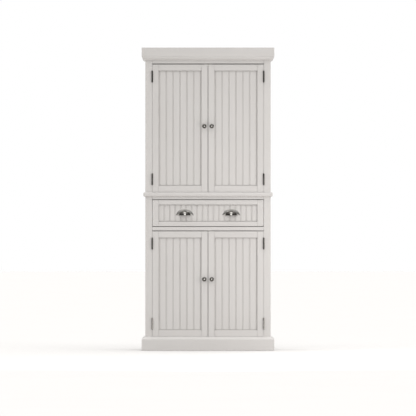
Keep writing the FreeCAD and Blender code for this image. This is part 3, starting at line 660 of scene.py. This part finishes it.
def knob_profile(radius, reach):
    """A knob's profile: a foot ring, a waisted neck, and a head with a rim and a domed centre."""
    foot = [(0, 0), (8.0, 0), (8.0, 1.2), (7.2, 2.0), (5.6, 2.4)]
    rim = [(0.80, 0), (0.95, 0.5), (1, 1.6), (1, 2.6), (0.955, 3.6), (0.86, 4.0), (0.80, 3.5), (0.76, 3.7)]
    neck_curve, head = 4.6 * MM, 0.68 * reach
    neck = arc((2 * neck_curve, 0.36 * reach), neck_curve, 118, 232, 10)
    dome_radius, dome_start = 0.76 * radius, head + 3.7 * MM
    turns = [math.pi / 2 * step / 9 for step in range(1, 9)]
    profile = [(out * MM, height * MM) for out, height in foot]
    profile += sorted(neck, key=lambda point: point[1])
    profile += [(share * radius, head + height * MM) for share, height in rim]
    profile += [(dome_radius * math.cos(t), dome_start + (reach - dome_start) * math.sin(t)) for t in turns]
    return profile + [(0, reach)]


def build_knob(node):
    """A turned knob, with painted highlights on its rim and in the middle of its dome."""
    low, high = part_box(node)
    centre = (low + high) / 2
    reach, radius = high.y - low.y, (high.x - low.x) / 2
    bm = lathe(knob_profile(radius, reach), (centre.x, high.y, centre.z), -Y, 64)

    def wear_and_highlight(place):
        away = math.hypot(place.x - centre.x, place.z - centre.z) / radius
        forward = (high.y - place.y) / reach
        # Painted highlight: the middle of the dome and the rim are made lighter.
        if away < 0.45 and forward > 0.6:
            return 0.85 - 1.2 * away
        return 0.56 if away > 0.8 else 0.26

    wear_and_sheen_layer(bm, wear_and_highlight)
    return stand_in(node, bm, [PEWTER])


def build_cup_pull(node):
    """A cup pull: a thin hood, open below, on a plate that runs out into two pointed ears."""
    low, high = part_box(node)
    centre, base, back = (low.x + high.x) / 2, low.z, high.y
    half, rise, reach = (high.x - low.x) / 2, high.z - low.z, high.y - low.y
    bm = bmesh.new()
    merge(bm, hood(centre, base, back, half=36 * MM, rise=27 * MM, reach=reach))
    merge(bm, flange(centre, base, back, half, rise))

    def wear_and_highlight(place):
        """Lighter on the plate, most at the ears, with a painted highlight on the hood's crest and painted
        light on its shoulder; darker elsewhere on the hood.
        """
        if back - place.y < PLATE_DEPTH:
            return 0.44 + 0.40 * abs(place.x - centre) / half
        # Painted highlight on the hood's crest and painted light on its shoulder.
        crest = math.hypot((place.x - centre) / (11 * MM), (place.z - base - 9 * MM) / (14 * MM))
        shoulder = max(0, place.z - base - 12 * MM) / (14 * MM)
        return 0.09 + 0.60 * max(0, 1 - crest ** 2) + 0.60 * shoulder

    wear_and_sheen_layer(bm, wear_and_highlight)
    return stand_in(node, bm, [PEWTER])


def hood(centre, base, back, half, rise, reach):
    """The hood's shell: a quarter of a flattened ball, open below and at the back."""
    around, forward = 40, 14
    wall, fullness = 1.8 * MM, 0.72
    bm = bmesh.new()

    def skin(shrink):
        """Rows of points from the rim to the foremost point, this far inside the hood's outline."""
        rows = []
        for column in range(around + 1):
            turn = math.pi * column / around
            across, up = (half - shrink) * math.cos(turn), (rise - shrink) * math.sin(turn)
            row = []
            for step in range(forward + 1):
                lean = math.pi / 2 * step / forward
                share = math.cos(lean) ** fullness
                depth = (reach - shrink) * math.sin(lean)
                row.append(bm.verts.new((centre - across * share, back - depth, base + up * share)))
            rows.append(row)
        return rows

    outer, inner = skin(0), skin(wall)
    for rows in (outer, inner):
        for row, following in zip(rows, rows[1:]):
            join_rows(bm, row, following)
    join_rows(bm, [row[0] for row in outer], [row[0] for row in inner])
    for end in (0, -1):
        join_rows(bm, outer[end], inner[end])
    bmesh.ops.remove_doubles(bm, verts=bm.verts, dist=SAME_POINT)
    return bm


def flange(centre, base, back, half, rise):
    """The plate round the hood, broad in the shoulders: thick at the hood, thin at its edge and ears."""
    inner_half, inner_rise = 33 * MM, 23 * MM
    profile = ((0, 0), (0, 0.7), (0.10, 1.3), (0.5, 3.0), (0.9, 4.3), (1, 4.4), (1, 0))
    columns, squareness, thinning = 48, 4, 0.55
    bm = bmesh.new()
    rings = []
    for column in range(columns + 1):
        turn = math.pi * (column / columns - 0.5)
        across, share = math.sin(turn), abs(turn) / (math.pi / 2)
        outer = Vector((centre + half * across, 0, base + rise * (1 - abs(across) ** squareness)))
        inner = Vector((centre + inner_half * across, 0, base + inner_rise * math.cos(turn)))
        ring = []
        for along, thick in profile:
            point = outer.lerp(inner, along)
            depth = thick * MM * (1 - thinning * share ** 3)
            ring.append(bm.verts.new((point.x, back - depth, max(point.z, base))))
        rings.append(ring)
    for ring, following in zip(rings, rings[1:]):
        join_rings(bm, ring, following)
    for ring in (rings[0], rings[-1]):
        bm.faces.new(ring)
    bmesh.ops.remove_doubles(bm, verts=bm.verts, dist=SAME_POINT)
    return bm


# ---------------------------------------------------------------- hinges, screws and other fittings

SCREW_WEAR = 0.30
KNOB_SCREW_OVER = 20 * MM            # of a door's fixings, what is deeper than this is a knob's screw
STRIKE_PLATE_UNDER = 2 * MM          # and what is shallower than this is a strike plate


def build_hinges():
    """Hinge leaves as the CAD has them, with slightly rounded edges, and turned pins."""
    for node in ["frame_hinge_leaves"] + [f"{door}_hinge_leaves" for door in DOORS]:
        wear_and_sheen_attribute(softened(node, [PEWTER], 0.2 * MM), hinge_wear_and_sheen)
    bm = bmesh.new()
    for low, high in node_boxes("hinge_pins"):
        merge(bm, hinge_pin(low, high))
    wear_and_sheen_layer(bm, hinge_wear_and_sheen)
    stand_in("hinge_pins", bm, [PEWTER])


def hinge_wear_and_sheen(place):
    """How bright a hinge's metal is: the lowest are painted lighter, a painted reflection."""
    return 0.20 + 0.58 * max(0, 1 - place.z / 0.45)


def wear_and_sheen_attribute(piece, amount):
    """Writes how worn each vertex of a finished piece is and how much painted highlight it gets, from a
    function of its place.
    """
    layer = piece.data.attributes.new("wear_and_sheen", "FLOAT", "POINT")
    layer.data.foreach_set("value", [amount(vertex.co) for vertex in piece.data.vertices])


def hinge_pin(low, high):
    """A pin with a turned tip at each end: a collar, a groove and a ball."""
    middle = (low + high) / 2
    radius, length = (high.x - low.x) / 2, high.z - low.z
    tip = [(0, 0), (0.30, 0.06), (0.52, 0.28), (0.60, 0.55), (0.52, 0.85), (0.40, 1.05),
           (0.42, 1.2), (0.80, 1.5), (1.0, 1.9), (1.0, 2.6), (0.94, 3.0)]
    tip_length, core = 5 * MM, 2 * MM
    scale = tip_length / tip[-1][1]
    start = [(share * radius, height * scale) for share, height in tip]
    end = [(out, length - height) for out, height in reversed(start)]
    shaft = [(core, tip_length), (core, length - tip_length)]
    return lathe(start + shaft + end, (middle.x, middle.y, low.z), Z, 28)


def screw_head(centre, inward, radius, height, recess=0.75 * MM):
    """A screw's head with a cross recess. inward points into the wood."""
    bm = bmesh.new()
    inward = Vector(inward)
    across = inward.orthogonal().normalized()
    third = inward.cross(across)

    def ring(shape, scale, depth):
        """The points of a flat shape, scaled, this deep below the wood's face."""
        return [bm.verts.new(Vector(centre) + (across * x + third * y) * scale + inward * depth)
                for x, y in shape]

    wing, slot = 0.62 * radius, 0.16 * radius
    cross = [(slot, slot), (wing, slot), (wing, -slot), (slot, -slot), (slot, -wing), (-slot, -wing),
             (-slot, -slot), (-wing, -slot), (-wing, slot), (-slot, slot), (-slot, wing), (slot, wing)]
    segments = 32
    turns = [2 * math.pi * step / segments for step in range(segments)]
    rim = [(radius * math.cos(turn), radius * math.sin(turn)) for turn in turns]
    top_cross, low_cross = ring(cross, 1, -height), ring(cross, 0.6, recess - height)
    crown, edge, foot = ring(rim, 0.82, -height), ring(rim, 1, 0), ring(rim, 0.55, 1.6 * MM)
    join_rings(bm, top_cross, low_cross)
    join_rings(bm, crown, edge)
    join_rings(bm, edge, foot)
    bm.faces.new(low_cross)
    bm.faces.new(foot)
    loops = [bm.edges.get((a, b)) or bm.edges.new((a, b)) for group in (crown, top_cross)
             for a, b in zip(group, group[1:] + group[:1])]
    bmesh.ops.triangle_fill(bm, use_beauty=True, edges=loops)
    return bm


def shank(start, inward, radius, length):
    """The threaded part of a screw: a shallow ridge for every turn, and a blunt end."""
    pitch, root = 1.3 * MM, 0.82 * radius
    turns = max(3, int(length / pitch))
    profile = [(0, 0), (radius, 0)]
    for turn in range(turns):
        ridge = length * (turn + 0.5) / turns
        profile += [(root, ridge - 0.3 * length / turns), (radius, ridge)]
    profile += [(0.8 * radius, length), (0, length)]
    return lathe(profile, start, inward, 16)


def box_screw(low, high, inward, head_length=0.0):
    """A detailed screw in the box of a plain one. inward is the way it was driven."""
    size, centre = high - low, (low + high) / 2
    axis = max(range(3), key=lambda number: abs(inward[number]))
    wide = min(size[number] for number in range(3) if number != axis) / 2
    start = centre.copy()
    start[axis] = low[axis] if inward[axis] > 0 else high[axis]
    neck = head_length + 0.4 * MM
    bm = bmesh.new()
    merge(bm, screw_head(start + inward * head_length, inward, wide, head_length))
    merge(bm, shank(start + inward * neck, inward, 0.48 * wide, size[axis] - neck))
    return bm


def build_screws():
    """Hinge screws, knob screws, strike plates and the drawer's screws."""
    pan_head = 2.4 * MM
    bm = bmesh.new()
    for low, high in node_boxes("frame_hinge_screws"):
        merge(bm, box_screw(low, high, X if low.x > 0 else -X))
    wear_and_sheen_layer(bm, lambda place: SCREW_WEAR)
    stand_in("frame_hinge_screws", bm, [PEWTER])

    for door in DOORS:
        inward = X if "left" in door else -X
        bm = bmesh.new()
        for low, high in node_boxes(f"{door}_fixings"):
            depth = high.y - low.y
            if depth > KNOB_SCREW_OVER:
                merge(bm, box_screw(low, high, -Y, pan_head), 1)
            elif depth < STRIKE_PLATE_UNDER:
                merge(bm, strike_plate(low, high), 1)
            else:
                merge(bm, box_screw(low, high, inward))
        wear_and_sheen_layer(bm, lambda place: SCREW_WEAR)
        stand_in(f"{door}_fixings", bm, [PEWTER, ZINC])

    bm = bmesh.new()
    for low, high in node_boxes("drawer_screws"):
        merge(bm, box_screw(low, high, -Y, pan_head))
    stand_in("drawer_screws", bm, [ZINC])


def strike_plate(low, high):
    """A thin plate with rounded edges and a screw's head in its middle."""
    bm = bmesh.new()
    merge(bm, eased_board(low, high, 0.4 * MM, 2))
    centre = (low + high) / 2
    place = (centre.x, high.y - 0.1 * MM, centre.z)
    merge(bm, screw_head(place, -Y, radius=2.6 * MM, height=0.0, recess=0.5 * MM))
    return bm


def build_runners():
    """The members of the drawer runners, with rounded edges."""
    for node in ("runner_case_members", "runner_middle_members", "runner_drawer_members"):
        softened(node, [ZINC], 0.25 * MM)


def build_catches():
    """Each catch is a moulded body with two steel-faced magnets in its front."""
    proud, spacing, foot = 0.4 * MM, 11.5 * MM, 4 * MM
    magnet = Vector((14, 4, 10)) * MM
    bodies, magnets = bmesh.new(), bmesh.new()
    for low, high in node_boxes("magnetic_catches"):
        merge(bodies, eased_board(low + proud * Y, high, 1.5 * MM, 4))
        for side in (-1, 1):
            middle = (low.x + high.x) / 2 + side * spacing
            corner = Vector((middle - magnet.x / 2, low.y, low.z + foot))
            merge(magnets, eased_board(corner, corner + magnet, 0.5 * MM, 2))
    stand_in("magnetic_catches", bodies, [PLASTIC])
    add_piece("catch_magnets", magnets, BODY_OF["magnetic_catches"], [ZINC])


def build_shelf_pins():
    """Steel pins, slightly wider in the half that carries the shelf."""
    bm = bmesh.new()
    for low, high in node_boxes("shelf_pins"):
        middle = (low + high) / 2
        inward = 1 if middle.x < 0 else -1
        start = low.x if inward > 0 else high.x
        radius, length = (high.z - low.z) / 2, high.x - low.x
        profile = [(0, 0), (0.8, 0), (0.94, 0.04), (0.94, 0.5), (0.94, 0.52), (1.0, 0.53), (1.0, 0.95),
                   (0.86, 1.0), (0, 1.0)]
        profile = [(share * radius, along * length) for share, along in profile]
        merge(bm, lathe(profile, (start, middle.y, middle.z), inward * X, 24))
    stand_in("shelf_pins", bm, [ZINC])


# ---------------------------------------------------------------- floor, light and camera

def build_stage():
    """A wide floor just below the cabinet."""
    half_width = 40
    bm = bmesh.new()
    bmesh.ops.create_grid(bm, x_segments=1, y_segments=1, size=half_width)
    floor = bpy.data.objects.new("floor", new_mesh("floor", bm, smooth=False))
    floor.location.z = CAD_BOX[0].z - 0.5 * MM
    floor.data.materials.append(pale_floor())
    bpy.context.scene.collection.objects.link(floor)


def soft_light(name, place, target, width, height, watts, colour=(1, 1, 1)):
    """A soft rectangular lamp that faces a target. The camera doesn't see it."""
    lamp = bpy.data.lights.new(name, "AREA")
    lamp.shape = "RECTANGLE"
    lamp.size, lamp.size_y = width, height
    lamp.energy = watts
    lamp.color = colour
    holder = bpy.data.objects.new(name, lamp)
    holder.location = place
    holder.rotation_euler = (Vector(target) - Vector(place)).to_track_quat("-Z", "Y").to_euler()
    holder.visible_camera = False
    bpy.context.scene.collection.objects.link(holder)


ZENITH, HORIZON = 2.4, 0.02          # how bright the surround is overhead and at the floor's edge


def build_sky():
    """A surround that lights from above, bright overhead and dark at the horizon, but looks white."""
    world = bpy.data.worlds.new("studio")
    world.use_nodes = True
    bpy.context.scene.world = world
    tree = world.node_tree
    direction = tree.nodes.new("ShaderNodeTexCoord").outputs["Generated"]
    height = tree.nodes.new("ShaderNodeSeparateXYZ")
    tree.links.new(direction, height.inputs[0])
    strength = tree.nodes.new("ShaderNodeMapRange")
    strength.inputs["To Min"].default_value = HORIZON
    strength.inputs["To Max"].default_value = ZENITH
    tree.links.new(height.outputs["Z"], strength.inputs["Value"])
    sky = tree.nodes["Background"]
    sky.inputs["Color"].default_value = (1, 1, 1, 1)
    tree.links.new(strength.outputs["Result"], sky.inputs["Strength"])
    backdrop = tree.nodes.new("ShaderNodeBackground")
    backdrop.inputs["Color"].default_value = (1, 1, 1, 1)
    chosen = tree.nodes.new("ShaderNodeMixShader")
    tree.links.new(tree.nodes.new("ShaderNodeLightPath").outputs["Is Camera Ray"], chosen.inputs[0])
    tree.links.new(sky.outputs[0], chosen.inputs[1])
    tree.links.new(backdrop.outputs[0], chosen.inputs[2])
    tree.links.new(chosen.outputs[0], tree.nodes["World Output"].inputs["Surface"])


def build_light():
    """Soft studio light: the surround, and two tall, narrow lamps, low on the right and in front."""
    build_sky()
    soft_light("strip", place=(1.5, -1.3, 0.50), target=(0, 0, 0.4), width=0.3, height=1.7,
               watts=13.5, colour=(1.0, 0.96, 0.95))
    soft_light("front", place=(0.05, -4.0, 1.1), target=(0, 0, 0.55), width=0.42, height=2.3,
               watts=15.3)


def build_camera():
    """Straight in front of the cabinet, at the height of the middle of the view."""
    view_width, distance, level = 2.529, 32.0, 0.867
    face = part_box("left_frame_stile")[0].y
    lens = bpy.data.cameras.new("camera")
    lens.sensor_width = 36
    lens.lens = lens.sensor_width * distance / view_width
    camera = bpy.data.objects.new("camera", lens)
    camera.location = (0, face - distance, level)
    camera.rotation_euler = (math.radians(90), 0, 0)
    bpy.context.scene.collection.objects.link(camera)
    bpy.context.scene.camera = camera
    bpy.context.scene.view_settings.view_transform = "Standard"


build_case()
build_face_frame()
build_crown()
build_waist()
build_plinth()
build_doors()
build_drawer()
for door in DOORS:
    build_knob(f"{door}_knob")
build_cup_pull("left_cup_pull")
build_cup_pull("right_cup_pull")
build_hinges()
build_screws()
build_runners()
build_catches()
build_shelf_pins()
build_stage()
build_light()
build_camera()
